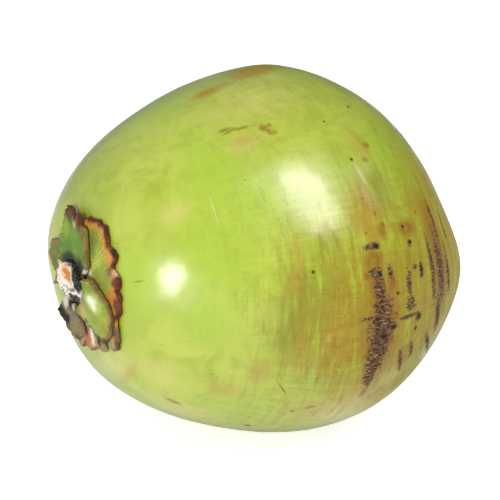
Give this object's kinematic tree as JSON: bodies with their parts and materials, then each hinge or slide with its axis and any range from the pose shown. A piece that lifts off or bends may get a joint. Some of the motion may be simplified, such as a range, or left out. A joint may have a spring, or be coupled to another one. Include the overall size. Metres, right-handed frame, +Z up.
{
  "type": "green coconut",
  "caption": "Whole green coconut lying on its side, with blunt keels, a cap of leathery tepals round a woody stem scar, and a small flat spot to rest on.",
  "frame": {"origin": "bottom centre of the whole fruit's box, on the surface it lies on", "axes": "+X along the fruit's own axis towards its tip, -X at the stem end, -Y the side seen from the front, +Z up"},
  "size_m": [0.2052, 0.1866, 0.1747],
  "materials": {
    "husk": "waxy, glossy green skin with corky brown scars",
    "stem_scar": "broken, pale and mouldy woody fibre",
    "petals": "leathery green with an orange band and a burnt brown rim",
    "dry_petals": "dry, frayed and fibrous",
    "sepals": "smooth green with brown, curled margins",
    "dry_sepals": "dry grey-brown, torn"
  },
  "bodies": {
    "root": {"husk": "husk", "stem_scar": "stem_scar", "petal_front": "petals", "petal_back": "petals", "petal_lower": "dry_petals", "sepal_top": "sepals", "sepal_front": "sepals", "sepal_lower": "dry_sepals"}
  },
  "joints": []
}
